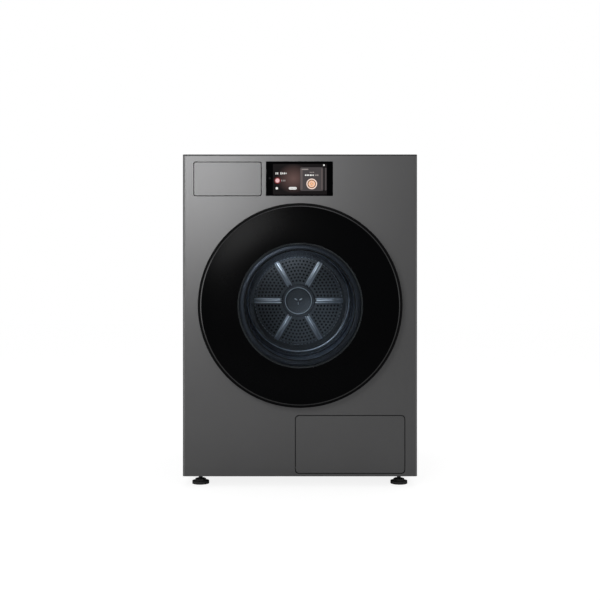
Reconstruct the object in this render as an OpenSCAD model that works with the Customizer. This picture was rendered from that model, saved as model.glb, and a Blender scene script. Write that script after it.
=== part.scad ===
// Heat pump clothes dryer with a large round glass door.
// +Z is up and the front looks along -Y. The origin is at the middle of the floor area.

/* [Cabinet] */
// Width of the cabinet
body_w = 600; // [580:1:760]
// Height of the cabinet with its feet
body_h = 850; // [840:1:1100]
// Depth of the cabinet without the door
body_d = 600; // [560:1:760]
// Thickness of the steel sheet
sheet = 1.5; // [1:0.1:2.5]
// Radius of the rounded front edges of the side panels
edge_r = 6; // [4:1:12]
// Height of the worktop's edge
top_lip = 3.5; // [2:0.5:8]
// Height of the cabinet's underside above the floor
foot_h = 27; // [22:0.5:40]
// Gap around the drawer front and the lower hatch
seam = 2; // [1:0.5:4]
// Depth of the air duct cover behind the rear panel
cover_depth = 20; // [10:1:40]

/* [Door] */
// Outer diameter of the door
door_d = 515; // [480:1:540]
// How far the door stands in front of the front panel
door_proud = 48; // [44:1:70]
// Distance from the door's centre down from the cabinet's top
door_drop = 385; // [370:1:400]
// Gap between the door's rear face and the front panel
door_gap = 1.5; // [1:0.1:3]
// Diameter of the clear window
window_d = 316; // [260:1:330]
// How far the glass bowl reaches behind the front panel
bowl_reach = 100; // [60:1:110]
// Thickness of the outer door glass
glass_t = 4; // [3:0.5:6]
// Wall of the glass bowl
bowl_wall = 5; // [3:0.5:7]
// Distance from the door's edge to its hinge axis
hinge_inset = 14.5; // [12:0.5:18]
// Distance from the front panel to the hinge axis
hinge_stand = 28; // [26:1:34]
// Radius of the hinge pin
hinge_pin_r = 3; // [2:0.5:5]

/* [Drawer and display] */
// Width of the drawer front
drawer_w = 170.4; // [150:0.1:180]
// Height of the drawer front
drawer_h = 84.5; // [70:0.1:90]
// Sideways place of the drawer's centre
drawer_x = -185.3; // [-195:0.1:-180]
// Distance from the drawer's centre to the cabinet's top
drawer_drop = 62.6; // [58:0.1:70]
// Length of the water tank
tank_len = 420; // [300:1:440]
// Width of the display glass
display_w = 171; // [150:1:180]
// Height of the display glass
display_h = 88; // [70:1:90]
// Sideways place of the display's centre
display_x = -1.4; // [-5:0.1:10]

/* [Lower hatch] */
// Width of the hatch flap
hatch_w = 278; // [240:1:290]
// Height of the hatch flap
hatch_h = 146; // [120:1:150]
// Sideways place of the hatch's centre
hatch_x = 128.2; // [125:0.1:135]
// Distance from the hatch's lower edge to the cabinet's underside
hatch_rise = 8.5; // [6:0.5:14]

/* [Drum] */
// Outer radius of the drum
drum_r = 274; // [272:0.5:276]
// Wall of the drum
drum_wall = 1.5; // [0.8:0.1:2]
// Distance from the front panel to the drum
drum_front = 88; // [86:1:110]
// Distance from the drum to the cabinet's rear
drum_back = 72; // [70:1:110]
// Radius of the perforated plate in the drum's rear wall
vent_r = 142; // [120:1:150]
// Diameter of the drum's air holes
hole_d = 6.5; // [4:0.5:7]
// Height of the drum's lifters
lifter_h = 58; // [30:1:70]

/* [Drive] */
// Radius of the belt groove on the motor shaft
pulley_r = 10; // [8:0.5:14]
// Radius of the belt tensioner's pulley
idler_r = 18; // [14:0.5:20]
// Radius of the motor's housing
motor_r = 52; // [40:1:56]
// Radius of the drum's support rollers
roller_r = 22; // [16:0.5:24]
// Thickness of the belt
belt_t = 1.5; // [1:0.1:2]
// Width of the belt
belt_w = 10; // [8:1:14]

/* [Hidden] */
$fn = 64;

// Colours of the finishes
steel_grey = [0.42, 0.43, 0.44];
dark_grey = [0.16, 0.17, 0.18];
black = [0.03, 0.03, 0.035];
zinc = [0.70, 0.71, 0.73];
copper = [0.72, 0.42, 0.25];
white_plastic = [0.86, 0.87, 0.86];
blue_grey = [0.27, 0.30, 0.34];
clear_glass = [0.75, 0.85, 0.88, 0.35];
belt_black = [0.06, 0.06, 0.06];

// Gaps between pieces that move past each other
touch_gap = 0.3;
bearing_gap = 0.05;
part_gap = 0.2;

// Outer faces of the cabinet
half_w = body_w / 2;
front_y = -(body_d + door_proud) / 2 + door_proud;
back_y = front_y + body_d;
base_z = foot_h;
lid_z = body_h - top_lip;
inner_x = half_w - sheet;
rear_y = back_y - cover_depth;
face_x = half_w - edge_r - touch_gap;

// Axis of the drum and the door, and the places along it
drum_z = body_h - door_drop;
drum_y0 = front_y + drum_front;
drum_y1 = back_y - drum_back;
drum_in = drum_r - drum_wall;
vent_recess = 10;
vent_y = drum_y1 - vent_recess;
neck_r = drum_r - 38;
felt_t = 3.7;
collar_t = 4;
throat_r = neck_r - 31;
tunnel_t = 4;
seal_w = 11;
seal_depth = 8;
bulkhead_y = front_y + 56;
bulkhead_t = 4;
bulkhead_lo = drum_z - drum_r + 6;
bulkhead_hi = drum_z + drum_r - 1;
spider_t = 6;
rear_bulk_y = drum_y1 + 16;
shaft_r = 10;
bearing_r = 20;

// The base and its air duct, which runs from front to rear on the right
tray_t = 4;
tray_z = base_z + tray_t;
wall_t = 3;
tray_wall_h = 40;
duct_x0 = hatch_x - hatch_w / 2 - 3;
duct_x1 = hatch_x + hatch_w / 2 + 3;
duct_z1 = drum_z - drum_r - 5;
duct_y0 = front_y + 30;
duct_y1 = back_y - 140;
coil_gap = 6;
foot_x = half_w - 42;
foot_y = [front_y + 48, rear_y - 48];
foot_hole_r = 5.3;

// Drawer, display and hatch on the front
drawer_z = body_h - drawer_drop;
display_z = drawer_z + 0.7;
hatch_z0 = base_z + hatch_rise;
hatch_z = hatch_z0 + hatch_h / 2;
hatch_axis_y = front_y + 8;
hatch_axis_rise = 12;
hatch_axis_z = hatch_z0 + hatch_axis_rise;
lever_x = hatch_w / 2 - 24;
hatch_pin_r = 3;
front_t = 2;
front_rim = 12;
drawer_corner = 5;
hatch_corner = 9;
housing_wall = 2;

// Door
door_r = door_d / 2;
door_y0 = front_y - door_proud;
door_y1 = front_y - door_gap;
window_r = window_d / 2;
glass_r = door_r - 6.5;
hinge_x = door_r - hinge_inset;
hinge_y = front_y - hinge_stand;
leaf_x0 = hinge_x - 58;
rim_back_r = hinge_x;
hinge_arm_z = 46;
hinge_arm_h = 12;
hinge_half = 62;
pocket_r = 42;
striker_x = -(door_r - 32.5);

// Drive: the motor stands to the left of the drum's lower edge
run_z = drum_z - drum_r - touch_gap;
motor_x = -half_w + 70;
motor_z = run_z + pulley_r + touch_gap;
motor_y = [front_y + 200, front_y + 330];
belt_y = front_y + 130;
idler_dip = 8;
idler_x = motor_x + 80;
idler_z = run_z + idler_r - idler_dip;
idler_pivot_x = idler_x + 40;
idler_pivot_z = idler_z - 50;
blower_y = front_y + 402;
blower_w = 50;
blower_r = 58;
blower_housing_r = 65;
outlet_r = 40;
roller_x = 170;
roller_reach = drum_r + roller_r + touch_gap;
roller_z = drum_z - sqrt(roller_reach * roller_reach - roller_x * roller_x);
roller_y = drum_y0 + 7;
roller_w = 18;
fan_x = -70;
fan_z = base_z + 85;
fan_r = 38;
compressor_x = -84;
compressor_y = front_y + 330;
compressor_r = 52;

// A flat shape in X and Z, given depth along Y from y to y + t
module slab(y, t) translate([0, y + t, 0]) rotate([90, 0, 0]) linear_extrude(t) children();

// A profile of radius and depth, turned about the drum's axis from depth y
module turned(y) translate([0, y, drum_z]) rotate([-90, 0, 0]) rotate_extrude($fn = 180) children();

// A ring about the drum's axis
module band(r0, r1, y0, y1) turned(y0) translate([r0, 0]) square([r1 - r0, y1 - y0]);

// A box between two corners
module block(lo, hi) translate(lo) cube(hi - lo);

// A round bar along Y
module rod_y(x, z, r, y0, y1) translate([x, y0, z]) rotate([-90, 0, 0]) cylinder(r = r, h = y1 - y0);

// A rectangle with round corners, centred
module rounded(w, h, r) {
    square([w - 2 * r, h], center = true);
    square([w, h - 2 * r], center = true);
    for (x = [-1, 1], z = [-1, 1])
        translate([x * (w / 2 - r), z * (h / 2 - r)]) circle(r);
}

// A bar between two points of the XZ plane
module bar2(a, b, w) hull() {
    translate(a) circle(d = w, $fn = 32);
    translate(b) circle(d = w, $fn = 32);
}

function arc(cx, cy, r, a0, a1, n) =
    [for (i = [0:n]) let (a = a0 + (a1 - a0) * i / n) [cx + r * cos(a), cy + r * sin(a)]];

// ---- Cabinet ----

module foot_places() for (x = [-foot_x, foot_x], y = foot_y) translate([x, y, 0]) children();

module base_tray() color(dark_grey) difference() {
    x = inner_x - part_gap;
    y0 = front_y + 16;
    y1 = rear_y - sheet - part_gap;
    ear_x = hatch_w / 2 + 4;
    union() {
        block([-x, y0, base_z], [x, y1, tray_z]);
        difference() {
            block([-x, y0, base_z], [x, y1, tray_z + tray_wall_h]);
            block([-x + wall_t, y0 + wall_t, base_z - 1], [x - wall_t, y1 - wall_t, body_h]);
            block([hatch_x - ear_x, y0 - 1, tray_z], [hatch_x + ear_x, y0 + wall_t + 1, body_h]);
        }
        difference() {
            block([duct_x0 - wall_t, duct_y0, base_z], [duct_x1 + wall_t, duct_y1, duct_z1]);
            block([duct_x0, duct_y0 - 1, tray_z], [duct_x1, duct_y1 - wall_t, duct_z1 - wall_t]);
            block([duct_x0 - 10, blower_y, tray_z + 70], [duct_x0 + 1, blower_y + blower_w, tray_z + 130]);
            for (y = [front_y + 150, compressor_y]) translate([duct_x0 - wall_t - 1, y, tray_z + 100])
                rotate([0, 90, 0]) cylinder(r = 7, h = wall_t + 2);
        }
        for (s = [-1, 1]) translate([hatch_x + s * (ear_x + 2), 0, 0])
            block([-2, front_y + 4, base_z + sheet + part_gap], [2, front_y + 20, hatch_axis_z + 8]);
        foot_places() translate([0, 0, base_z]) cylinder(r = 15, h = 34);
        rib_y = [motor_y[0] + 20, motor_y[1] - 30];
        for (y = rib_y) block([motor_x - 34, y, tray_z], [motor_x + 34, y + 8, motor_z - motor_r + 12]);
        block([idler_pivot_x - 12, belt_y + 24, tray_z], [idler_pivot_x + 12, belt_y + 30, idler_pivot_z + 12]);
        rod_y(idler_pivot_x, idler_pivot_z, 5, belt_y + 15, belt_y + 24);
        for (x = [-34, 34]) translate([compressor_x + x, compressor_y, tray_z]) cylinder(r = 9, h = 6);
        fan_ring();
    }
    foot_places() translate([0, 0, base_z - 1]) cylinder(r = foot_hole_r, h = 31);
    rod_y(motor_x, motor_z, motor_r + part_gap, motor_y[0], motor_y[1]);
    translate([hatch_x - ear_x - 10, hatch_axis_y, hatch_axis_z]) rotate([0, 90, 0])
        cylinder(r = hatch_pin_r + bearing_gap, h = 2 * ear_x + 20);
}

// Ring on a stalk that carries the compressor's cooling fan
module fan_ring() {
    y = rear_y - 40;
    difference() {
        union() {
            rod_y(fan_x, fan_z, fan_r + 6, y, y + 24);
            block([fan_x - 30, y, tray_z - 1], [fan_x + 30, y + 24, fan_z - fan_r]);
        }
        rod_y(fan_x, fan_z, fan_r + 3, y - 1, y + 25);
    }
    for (a = [0, 90]) translate([fan_x, y + 20, fan_z]) rotate([0, a, 0])
        block([-fan_r - 4, 0, -3], [fan_r + 4, 4, 3]);
    rod_y(fan_x, fan_z, 10, y + 14, y + 24);
    rod_y(fan_x, fan_z, 2, y + 2, y + 14);
}

module side_panel() color(steel_grey) translate([0, 0, base_z]) linear_extrude(lid_z - base_z) {
    cx = -half_w + edge_r;
    cy = front_y + edge_r;
    intersection() {
        difference() {
            translate([cx, cy]) circle(edge_r);
            translate([cx, cy]) circle(edge_r - sheet);
        }
        translate([-half_w, front_y]) square(edge_r);
    }
    translate([-half_w, cy]) square([sheet, rear_y - cy]);
    translate([cx - sheet, front_y + 0.3]) square([sheet, 14]);
    translate([-half_w, rear_y - sheet]) square([16, sheet]);
}

module left_side_panel() side_panel();

module right_side_panel() mirror([1, 0, 0]) side_panel();

// Outline of the air duct on the rear panel, from the blower up to the drum's axis
module duct_outline(inset) hull() {
    translate([0, drum_z]) circle(190 - inset, $fn = 96);
    translate([motor_x, motor_z]) circle(60 - inset, $fn = 48);
}

module rear_panel() color(zinc) difference() {
    slab(rear_y, sheet) difference() {
        translate([-half_w, base_z]) square([body_w, lid_z - base_z]);
        duct_outline(12);
        for (i = [-4:4]) translate([fan_x + i * 9, fan_z]) rounded(5, 56, 2.4);
        for (i = [-5:5]) translate([150 + i * 9, base_z + 85]) rounded(5, 70, 2.4);
    }
}

module rear_duct_cover() color(zinc) {
    depth = cover_depth - sheet;
    difference() {
        slab(rear_y + sheet, depth) duct_outline(0);
        slab(rear_y + sheet - 1, depth - sheet + 1) duct_outline(12);
    }
}

module top_panel() color(dark_grey) difference() {
    y1 = rear_y + sheet;
    rim = 12;
    translate([0, 0, lid_z]) linear_extrude(top_lip) {
        translate([-half_w, front_y + edge_r]) square([body_w, y1 - front_y - edge_r]);
        translate([-half_w + edge_r, front_y]) square([body_w - 2 * edge_r, edge_r]);
        for (s = [-1, 1]) translate([s * (half_w - edge_r), front_y + edge_r]) circle(edge_r);
    }
    block([-half_w + rim, front_y + rim, lid_z - 1], [half_w - rim, y1 - rim, body_h - sheet]);
}

module front_panel() color(steel_grey) {
    slab(front_y, sheet) difference() {
        translate([-face_x, base_z]) square([2 * face_x, lid_z - base_z]);
        translate([drawer_x, drawer_z])
            rounded(drawer_w + 2 * seam, drawer_h + 2 * seam, drawer_corner + seam / 2);
        translate([display_x, display_z])
            square([display_w + 2 * touch_gap, display_h + 2 * touch_gap], center = true);
        translate([hatch_x, hatch_z])
            rounded(hatch_w + 2 * seam, hatch_h + 2 * seam, hatch_corner + seam / 2);
        translate([0, drum_z]) circle(throat_r + seal_w, $fn = 180);
        translate([striker_x, drum_z]) square([14, 30], center = true);
    }
    for (s = [-1, 1]) block([s > 0 ? face_x - sheet : -face_x, front_y + sheet, base_z],
        [s > 0 ? face_x : -face_x + sheet, front_y + 13, lid_z]);
    for (z = [base_z, lid_z - sheet])
        block([-face_x, front_y + sheet, z], [face_x, front_y + 13, z + sheet]);
}

module front_bulkhead() color(blue_grey) {
    shaft_w = 96;
    difference() {
        union() {
            slab(bulkhead_y, bulkhead_t) difference() {
                translate([-inner_x + 1, bulkhead_lo])
                    square([2 * inner_x - 2, bulkhead_hi - bulkhead_lo]);
                translate([0, drum_z]) circle(throat_r + 1, $fn = 180);
            }
            band(throat_r, throat_r + tunnel_t, front_y + 8, drum_y0 - 4);
            band(throat_r, neck_r - felt_t - touch_gap, drum_y0 - 8, drum_y0 - 4);
            band(neck_r - felt_t - touch_gap - collar_t, neck_r - felt_t - touch_gap,
                bulkhead_y + 1, drum_y0 - 4);
            difference() {
                block([-shaft_w, front_y + 24, bulkhead_lo], [shaft_w, bulkhead_y, drum_z - throat_r + 26]);
                translate([0, 0, drum_z]) rotate([90, 0, 0])
                    cylinder(r = throat_r + 1, h = 2 * body_d, center = true, $fn = 180);
            }
        }
        block([-shaft_w + 4, front_y + 28, bulkhead_lo - 1], [shaft_w - 4, bulkhead_y, drum_z - 100]);
        for (s = [-1, 1]) rod_y(s * roller_x, roller_z, 4, bulkhead_y - 1, bulkhead_y + 10);
    }
    for (s = [-1, 1]) rod_y(s * roller_x, roller_z, 4, bulkhead_y, roller_y + roller_w + 4);
}

module rear_bulkhead() color(zinc) {
    window = vent_r + 6;
    slab(rear_bulk_y, 2) difference() {
        translate([-inner_x + 1, bulkhead_lo]) square([2 * inner_x - 2, bulkhead_hi - bulkhead_lo]);
        translate([0, drum_z]) difference() {
            circle(window, $fn = 120);
            circle(36);
            for (a = [0:60:300]) rotate(a) translate([0, -9]) square([window + 2, 18]);
        }
        translate([0, drum_z]) circle(bearing_r + 4);
        translate([motor_x, motor_z]) circle(outlet_r + 1);
    }
    band(bearing_r + 0.02, bearing_r + 12, rear_bulk_y - 6, rear_bulk_y + 16);
    band(drum_r - 20, drum_r - 4, drum_y1 + touch_gap, rear_bulk_y);
}

module drawer_housing() color(white_plastic) {
    w = drawer_w / 2 + seam + housing_wall;
    h = drawer_h / 2 + seam + housing_wall;
    y0 = front_y + sheet + part_gap;
    y1 = front_y + front_rim + tank_len + 12;
    difference() {
        block([drawer_x - w, y0, drawer_z - h], [drawer_x + w, y1, drawer_z + h]);
        block([drawer_x - w + housing_wall, y0 - 1, drawer_z - h + housing_wall],
            [drawer_x + w - housing_wall, y1 - housing_wall, drawer_z + h - housing_wall]);
    }
    for (s = [-1, 1]) translate([drawer_x + s * (drawer_w / 2 - 20), 0, drawer_z - h + housing_wall])
        block([-4, y0 + 20, -part_gap], [4, y1 - 10, seam + 3 - touch_gap]);
}

module display_housing() color(black) {
    y0 = front_y + 2.4;
    difference() {
        slab(y0, 32) translate([display_x, display_z])
            rounded(display_w + 10, display_h + 8, 4);
        slab(y0 - 1, 30) translate([display_x, display_z])
            square([display_w - 6, display_h - 6], center = true);
    }
}

module display_glass() color(black) slab(front_y - 0.6, 3) translate([display_x, display_z])
    rounded(display_w, display_h, 2);

module control_module() color(white_plastic) {
    x0 = display_x + display_w / 2 + 30;
    y0 = front_y + 60;
    block([x0, y0, drawer_z - 36], [x0 + 150, y0 + 220, drawer_z + 30]);
    for (i = [0:5]) block([x0 + 10 + i * 24, y0 - 12, drawer_z - 20], [x0 + 26 + i * 24, y0, drawer_z]);
    block([x0 + 8, y0 + 8, drawer_z + 30], [x0 + 142, y0 + 212, drawer_z + 34]);
}

// ---- Door opening and seals ----

module door_seal() color([0.10, 0.10, 0.11])
    band(throat_r, throat_r + seal_w, front_y - door_gap + touch_gap, front_y + seal_depth);

module front_felt() color([0.55, 0.53, 0.50])
    band(neck_r - felt_t - touch_gap, neck_r - touch_gap, bulkhead_y + bulkhead_t + 1, drum_y0 - 4);

module rear_bearing() color(zinc)
    band(shaft_r + bearing_gap, bearing_r, rear_bulk_y - 4, rear_bulk_y + 14);

module hinge_bracket() color(zinc) difference() {
    arm_x = hinge_x - 19;
    union() {
        block([arm_x - 7, front_y - 3, drum_z - 60], [arm_x + 9, front_y, drum_z + 60]);
        for (s = [-1, 1]) translate([0, 0, drum_z + s * hinge_arm_z - hinge_arm_h / 2]) {
            block([arm_x - 2, hinge_y - 2, 0], [arm_x + 2, front_y - 1, hinge_arm_h]);
            block([arm_x - 2, hinge_y - 2, 0], [hinge_x, hinge_y + 2, hinge_arm_h]);
            translate([hinge_x, hinge_y, 0]) cylinder(r = 6, h = hinge_arm_h);
        }
    }
    translate([hinge_x, hinge_y, drum_z - 70]) cylinder(r = hinge_pin_r + 0.02, h = 140);
}

module hinge_pin() color(zinc) translate([hinge_x, hinge_y, drum_z]) {
    length = 2 * hinge_arm_z + hinge_arm_h + 2;
    cylinder(r = hinge_pin_r, h = length, center = true);
    translate([0, 0, length / 2 - 1]) cylinder(r = hinge_pin_r + 2, h = 2);
}

module door_catch() color(white_plastic) difference() {
    y0 = front_y + sheet;
    block([striker_x - 18, y0, drum_z - 34], [striker_x + 7 + 1.5, y0 + 34, drum_z + 34]);
    block([striker_x - 7, y0 - 1, drum_z - 15], [striker_x + 7, y0 + 26, drum_z + 15]);
    block([striker_x - 17, y0 + 6, drum_z - 6], [striker_x - 6, y0 + 14, drum_z + 6]);
}

module latch_plunger() color(zinc) {
    y0 = front_y + sheet + 6 + touch_gap;
    x0 = striker_x - 12;
    block([x0, y0, drum_z - 6 + touch_gap], [striker_x - 3.5, y0 + 7.4, drum_z + 6 - touch_gap]);
}

module lint_filter() color(blue_grey) {
    half = 90;
    y0 = front_y + 31;
    t = 22;
    wall = 4;
    low = bulkhead_lo + 4;
    difference() {
        slab(y0, t) difference() {
            translate([-half, low]) square([2 * half, drum_z - 100 - low]);
            translate([0, drum_z]) circle(throat_r + 2, $fn = 180);
        }
        slab(y0 - 1, t - wall / 2 + 1) for (i = [-1, 0, 1])
            translate([i * 58, low + wall]) translate([-26, 0]) square([52, 36]);
    }
    slab(y0 + 5, 10) translate([-22, drum_z - throat_r - 6]) rounded_tab(44, 13);
}

module rounded_tab(w, h) {
    square([w, h - 5]);
    translate([5, 0]) square([w - 10, h]);
    for (x = [5, w - 5]) translate([x, h - 5]) circle(5);
}

// ---- Heat pump ----

module heat_exchanger_filter() color([0.35, 0.42, 0.46]) {
    y = duct_y0 + 36;
    difference() {
        block([duct_x0 + coil_gap, y, tray_z + 2], [duct_x1 - coil_gap, y + 24, duct_z1 - wall_t - 2]);
        block([duct_x0 + coil_gap + 8, y - 1, tray_z + 10],
            [duct_x1 - coil_gap - 8, y + 6, duct_z1 - wall_t - 10]);
    }
}

// A block of fins on tubes, between two end plates
module coil(y, depth) {
    x0 = duct_x0 + coil_gap;
    x1 = duct_x1 - coil_gap;
    z0 = tray_z + 2;
    z1 = duct_z1 - wall_t - 2;
    fins = 24;
    for (i = [0:fins]) translate([x0 + (x1 - x0 - 1.2) * i / fins, y, z0])
        cube([1.2, depth, z1 - z0]);
    for (j = [0:3], k = [0:2]) translate([x0, y + depth * (k + 0.5) / 3, z0 + (z1 - z0) * (j + 0.5) / 4])
        rotate([0, 90, 0]) cylinder(r = 4, h = x1 - x0);
}

module evaporator() color(zinc) coil(front_y + 120, 80);

module condenser() color(zinc) coil(front_y + 290, 90);

module refrigerant_pipes() color(copper) {
    r = 5;
    z = tray_z + 100;
    end = duct_x0 + coil_gap;
    x1 = compressor_x + compressor_r;
    translate([x1 + part_gap, compressor_y, z]) rotate([0, 90, 0]) cylinder(r = r, h = end - x1 - 2 * part_gap);
    bend = [compressor_x + 26, front_y + 150, z];
    near = 26 - r;
    start = compressor_y - sqrt(compressor_r * compressor_r - near * near) - part_gap;
    translate(bend) sphere(r);
    translate(bend) rotate([0, 90, 0]) cylinder(r = r, h = end - bend[0] - part_gap);
    translate(bend) rotate([-90, 0, 0]) cylinder(r = r, h = start - bend[1]);
}

module compressor() color(black) translate([compressor_x, compressor_y, tray_z]) {
    foot = 8;
    height = 128;
    dome = 14;
    translate([0, 0, foot]) cylinder(r = compressor_r, h = height - dome - foot);
    translate([0, 0, height - dome]) rotate_extrude()
        polygon(concat([[0, 0]], arc(0, 0, 1, 0, 90, 12) * [[compressor_r, 0], [0, dome]]));
    difference() {
        translate([-46, -18, 6]) cube([92, 36, 4]);
        translate([0, 0, 0]) cylinder(r = compressor_r - 14, h = 20);
    }
}

module cooling_fan() color(black) translate([fan_x, rear_y - 36, fan_z]) {
    difference() {
        rotate([-90, 0, 0]) cylinder(r = 12, h = 9);
        translate([0, -1, 0]) rotate([-90, 0, 0]) cylinder(r = 2 + bearing_gap, h = 11);
    }
    for (a = [0:72:288]) rotate([0, a, 0]) translate([11, 1, -9]) rotate([-22, 0, 0]) cube([fan_r - 11, 1.6, 18]);
}

// ---- Drive ----

module motor_body() color(dark_grey) difference() {
    length = motor_y[1] - motor_y[0];
    union() {
        rod_y(motor_x, motor_z, motor_r, motor_y[0] + 14, motor_y[1] - 14);
        for (y = [motor_y[0], motor_y[1] - 14 - part_gap])
            rod_y(motor_x, motor_z, motor_r - 6, y, y + 14 + part_gap);
    }
    rod_y(motor_x, motor_z, 7.4, motor_y[0] - 1, motor_y[1] + 1);
    for (a = [0:30:330]) translate([motor_x, 0, motor_z]) rotate([0, a, 0]) translate([motor_r - 3, 0, -2])
        block([0, motor_y[0] + 30, 0], [5, motor_y[0] + length - 30, 4]);
}

module motor_shaft() color(zinc) {
    y0 = belt_y - 8;
    rod_y(motor_x, motor_z, 7, y0, blower_y + blower_w - 4);
    difference() {
        rod_y(motor_x, motor_z, pulley_r + 3, belt_y - 4, belt_y + belt_w + 4);
        turned_at(motor_x, motor_z, belt_y - 1) translate([pulley_r, 0]) square([10, belt_w + 2]);
    }
}

// A profile turned about an axis along Y at any place
module turned_at(x, z, y) translate([x, y, z]) rotate([-90, 0, 0]) rotate_extrude() children();

module blower_wheel() color(white_plastic) {
    y0 = blower_y + 8;
    y1 = blower_y + blower_w - 8;
    turned_at(motor_x, motor_z, y0) {
        translate([7.02, 0]) square([8, y1 - y0]);
        translate([7.02, y1 - y0 - 3]) square([blower_r - 7.02, 3]);
        translate([blower_r - 18, 0]) square([18, 3]);
    }
    for (a = [0:20:340]) translate([motor_x, 0, motor_z]) rotate([0, a, 0])
        block([blower_r - 18, y0 + 1, -1], [blower_r - 1, y1 - 1, 1]);
}

module blower_housing() color(blue_grey) {
    y1 = blower_y + blower_w;
    wall = 3;
    x1 = duct_x0 - wall_t - part_gap;
    z0 = tray_z + 70;
    z1 = tray_z + 130;
    difference() {
        union() {
            rod_y(motor_x, motor_z, blower_housing_r, blower_y, y1);
            block([motor_x, blower_y, z0], [x1, y1, z1]);
            rod_y(motor_x, motor_z, outlet_r, y1 - 1, rear_y);
        }
        rod_y(motor_x, motor_z, blower_housing_r - wall, blower_y + wall, y1 - wall);
        block([motor_x, blower_y + wall, z0 + wall], [x1 + 1, y1 - wall, z1 - wall]);
        rod_y(motor_x, motor_z, outlet_r - wall, y1 - wall - 1, rear_y + 1);
        rod_y(motor_x, motor_z, 9, blower_y - 1, blower_y + wall + 1);
    }
}

module belt_path(grow) hull() {
    translate([0, drum_z]) circle(drum_r + touch_gap + grow, $fn = 180);
    translate([motor_x, motor_z]) circle(pulley_r + touch_gap + grow, $fn = 48);
    translate([idler_x, idler_z]) circle(idler_r + touch_gap + grow, $fn = 64);
}

module drive_belt() color(belt_black) slab(belt_y, belt_w) difference() {
    belt_path(belt_t);
    belt_path(0);
}

module idler_arm() color(zinc) {
    y = belt_y + belt_w + 6;
    difference() {
        slab(y, 3) bar2([idler_x, idler_z], [idler_pivot_x, idler_pivot_z], 18);
        rod_y(idler_pivot_x, idler_pivot_z, 5 + bearing_gap, y - 1, y + 5);
    }
    rod_y(idler_x, idler_z, 4, belt_y - 4, y);
}

module idler_pulley() color(black) difference() {
    rod_y(idler_x, idler_z, idler_r, belt_y - 2, belt_y + belt_w + 2);
    rod_y(idler_x, idler_z, 4 + bearing_gap, belt_y - 3, belt_y + belt_w + 3);
}

// Extension spring beside the tensioner's arm
module idler_spring() color(zinc) {
    turns = 14;
    pitch = 2.6;
    length = turns * pitch;
    y = belt_y + 40;
    z0 = tray_z + 14;
    translate([idler_pivot_x, y, z0]) {
        for (i = [0:turns]) translate([0, 0, i * pitch]) rotate_extrude() translate([5, 0]) circle(1.4);
        translate([0, 0, -14]) cylinder(r = 1.4, h = 14 + 1);
        translate([0, 0, length]) cylinder(r = 1.4, h = 12);
        for (z = [0, length]) translate([0, 0, z]) rotate([0, 90, 0]) cylinder(r = 1.2, h = 5);
    }
}

module roller(side) color(black) difference() {
    rod_y(side * roller_x, roller_z, roller_r, roller_y, roller_y + roller_w);
    rod_y(side * roller_x, roller_z, 4 + bearing_gap, roller_y - 1, roller_y + roller_w + 1);
}

module roller_left() roller(-1);

module roller_right() roller(1);

// ---- Lower hatch ----

module inner_cover() color(blue_grey) {
    y = duct_y0 - 8;
    lo = [duct_x0 - wall_t, tray_z + 6];
    hi = [duct_x1 + wall_t, duct_z1];
    difference() {
        slab(y, 8) translate([hatch_x, (lo[1] + hi[1]) / 2]) rounded(hi[0] - lo[0] - 8, hi[1] - lo[1] - 6, 8);
        slab(y - 1, 5) translate([hatch_x, (lo[1] + hi[1]) / 2]) rounded(hatch_w - 90, 70, 10);
        for (s = [-1, 1]) rod_y(hatch_x + s * lever_x, hatch_z, 5 + bearing_gap, y - 1, y + 9);
    }
}

module cover_lever(side) color([0.60, 0.62, 0.64]) {
    y = duct_y0 - 8;
    rod_y(hatch_x + side * lever_x, hatch_z, 5, y - 6, y + 8);
    slab(y - 6, 5.7) translate([hatch_x + side * lever_x, hatch_z]) {
        rounded(12, 56, 5.5);
        circle(11);
    }
}

module cover_lever_left() cover_lever(-1);

module cover_lever_right() cover_lever(1);

module hatch_flap() color(steel_grey) {
    rim_t = 2;
    difference() {
        slab(front_y, 9) translate([hatch_x, hatch_z]) rounded(hatch_w, hatch_h, hatch_corner);
        slab(front_y + front_t, 10) translate([hatch_x, hatch_z])
            rounded(hatch_w - 2 * rim_t, hatch_h - 2 * rim_t, hatch_corner - rim_t);
        translate([0, hatch_axis_y, hatch_axis_z]) block([hatch_x - hatch_w, -5, -20], [hatch_x + hatch_w, 20, -2]);
    }
    for (s = [-1, 1]) translate([hatch_x + s * (hatch_w / 2 - 1), hatch_axis_y, hatch_axis_z]) {
        rotate([0, 90 * s, 0]) cylinder(r = hatch_pin_r, h = 9);
        rotate([0, 90 * s, 0]) translate([0, 0, -5]) cylinder(r = 5, h = 6);
        translate([s > 0 ? -5 : 0, -7, 0]) cube([5, 7, 5]);
    }
}

// ---- Rear fittings and feet ----

module drain_port() color(blue_grey) {
    x = -half_w + 38;
    z = drum_z + 300;
    difference() {
        union() {
            rod_y(x, z, 16, rear_y + sheet, rear_y + sheet + 3);
            rod_y(x, z, 9, rear_y + sheet, back_y);
        }
        rod_y(x, z, 6.5, rear_y + sheet - 1, back_y + 1);
    }
}

module power_inlet() color(black) difference() {
    x = half_w - 60;
    y = rear_y + sheet;
    block([x - 26, y, base_z + 90], [x + 26, y + 15, base_z + 130]);
    block([x - 14, y + 6, base_z + 101], [x + 14, y + 20, base_z + 119]);
}

module foot(x, y) color(belt_black) translate([x, y, 0]) {
    cylinder(r = 22, h = 7);
    translate([0, 0, 7]) cylinder(r = 14, h = 6, $fn = 6);
    cylinder(r = foot_hole_r - touch_gap, h = base_z + 26);
}

module foot_front_left() foot(-foot_x, foot_y[0]);

module foot_front_right() foot(foot_x, foot_y[0]);

module foot_rear_left() foot(-foot_x, foot_y[1]);

module foot_rear_right() foot(foot_x, foot_y[1]);

// ---- Drawer ----

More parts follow.
